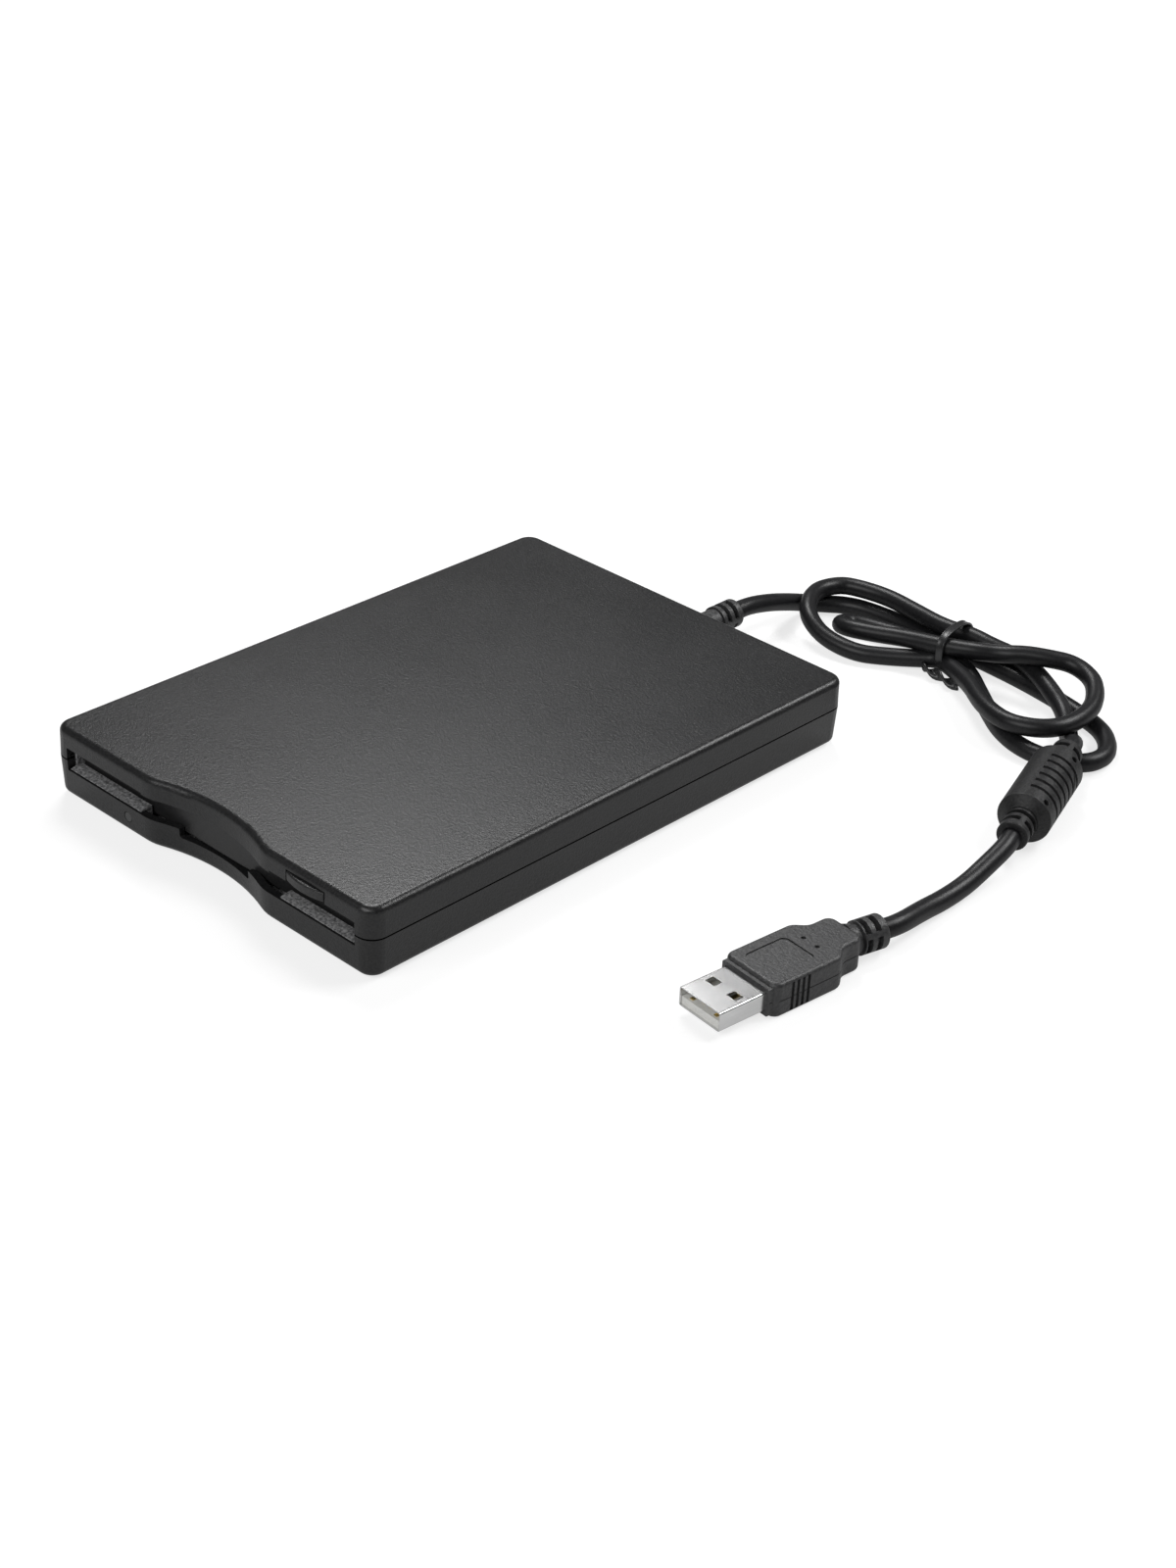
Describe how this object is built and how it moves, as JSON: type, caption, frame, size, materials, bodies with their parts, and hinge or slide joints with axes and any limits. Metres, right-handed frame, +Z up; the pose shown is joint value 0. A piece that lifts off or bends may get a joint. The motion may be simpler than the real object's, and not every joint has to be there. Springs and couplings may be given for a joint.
{
  "type": "external floppy disk drive",
  "caption": "Slim desktop floppy disk drive with a scooped front slot, eject button and working mechanism, and a captive tied cable with choke and USB-A plug.",
  "frame": {"origin": "on the table plane under the middle of the housing, not counting the cable, its grommet and what is on it", "axes": "+X to the right seen from the front, +Y from the front with the disk slot to the back with the cable, +Z up"},
  "size_m": [0.1685, 0.2083, 0.0174],
  "materials": {
    "case_plastic": "black, finely spark-eroded",
    "bezel_plastic": "black, coarser texture",
    "flap_plastic": "black, smooth",
    "button_plastic": "black, finely spark-eroded",
    "foot_rubber": "matt",
    "screw_steel": "zinc plated",
    "sheet_steel": "zinc plated sheet",
    "pin_steel": "ground",
    "spring_steel": "spring wire",
    "lamp_lens": "smoked clear plastic",
    "lamp_body": "moulded",
    "carriage_plastic": "moulded",
    "head_ceramic": "polished",
    "bearing_brass": "sintered",
    "rotor_steel": "nickel plated",
    "board_green": "solder resist",
    "chip_black": "moulded",
    "crystal_can": "drawn can",
    "ribbon_white": "flat cable",
    "core_wire": "insulated",
    "cable_sheath": "satin sheath",
    "relief_plastic": "soft moulding",
    "tie_plastic": "plastic coated wire",
    "ferrite": "sintered ferrite",
    "shell_nickel": "bright nickel",
    "tongue_plastic": "white insulator",
    "contact_gold": "gold flash"
  },
  "bodies": {
    "housing": {"bottom_cover": "case_plastic", "top_cover": "case_plastic", "rubber_feet": "foot_rubber", "case_screws": "screw_steel", "mechanism_screws": "screw_steel", "slot_bezel": "bezel_plastic", "flap_spring": "spring_steel", "led_lens": "lamp_lens", "status_led": "lamp_body", "drive_chassis": "sheet_steel", "guide_rods": "pin_steel", "spindle_stator": "board_green", "spindle_bearing": "bearing_brass", "stepper_motor": "rotor_steel", "screw_bearing": "sheet_steel", "drive_board": "board_green", "drive_chips": "chip_black", "disk_switches": "chip_black", "usb_board": "board_green", "usb_chip": "chip_black", "crystal": "crystal_can", "cable_wires": "core_wire", "flat_cable": "ribbon_white", "strain_relief": "relief_plastic", "cable_hank": "cable_sheath", "cable_lead": "cable_sheath", "cable_in_choke": "cable_sheath", "cable_to_plug": "cable_sheath", "twist_tie": "tie_plastic", "choke_cover": "relief_plastic", "ferrite_core": "ferrite", "plug_body": "relief_plastic", "plug_shell": "shell_nickel", "plug_tongue": "tongue_plastic", "plug_contacts": "contact_gold"},
    "flap": {"dust_flap": "flap_plastic"},
    "slider": {"eject_slider": "sheet_steel", "eject_button": "button_plastic", "slider_springs": "spring_steel"},
    "holder": {"disk_holder": "sheet_steel", "holder_pins": "pin_steel", "lever_rivet": "pin_steel"},
    "lever": {"trip_lever": "sheet_steel"},
    "turntable": {"spindle_rotor": "rotor_steel", "spindle_hub": "rotor_steel", "spindle_shaft": "pin_steel", "drive_pin": "pin_steel"},
    "carriage": {"head_carriage": "carriage_plastic", "arm_pin": "pin_steel", "lower_head": "head_ceramic"},
    "arm": {"upper_head_arm": "carriage_plastic", "upper_head": "head_ceramic"},
    "screw": {"lead_screw": "pin_steel"}
  },
  "joints": [
    {"name": "flap_hinge", "type": "hinge", "parent": "housing", "child": "flap", "pos_m": [0, -0.0689, 0.0142], "axis": [1, 0, 0], "range_deg": [0, 85], "stiffness_Nm_per_rad": 0.0008, "springref_deg": -17.19},
    {"name": "eject_slide", "type": "slide", "parent": "housing", "child": "slider", "axis": [0, 1, 0], "range_m": [-0.004, 0]},
    {"name": "holder_drop", "type": "slide", "parent": "housing", "child": "holder", "axis": [0, 0, 1], "range_m": [-0.00191, 0]},
    {"name": "lever_swing", "type": "hinge", "parent": "holder", "child": "lever", "pos_m": [-0.033, 0.0275, 0.0136], "axis": [0, 0, 1], "range_deg": [0, 53], "stiffness_Nm_per_rad": 0.001, "springref_deg": -17.19},
    {"name": "spindle_turn", "type": "hinge", "parent": "housing", "child": "turntable", "pos_m": [0, -0.0205, 0.005], "axis": [0, 0, 1], "continuous": true},
    {"name": "carriage_slide", "type": "slide", "parent": "housing", "child": "carriage", "axis": [0, 1, 0], "range_m": [-0.0148, 0]},
    {"name": "arm_hinge", "type": "hinge", "parent": "carriage", "child": "arm", "pos_m": [0, 0.049, 0.0096], "axis": [1, 0, 0], "range_deg": [0, 7.5]},
    {"name": "screw_turn", "type": "hinge", "parent": "housing", "child": "screw", "pos_m": [0.02, 0.03, 0.0082], "axis": [0, 1, 0], "range_deg": [-1780, 0]}
  ],
  "couplings": [
    {"joint": "holder_drop", "follows": "eject_slide", "ratio": 0.475},
    {"joint": "arm_hinge", "follows": "eject_slide", "rad_per_m": -32.5},
    {"joint": "screw_turn", "follows": "carriage_slide", "rad_per_m": 2094.4}
  ]
}
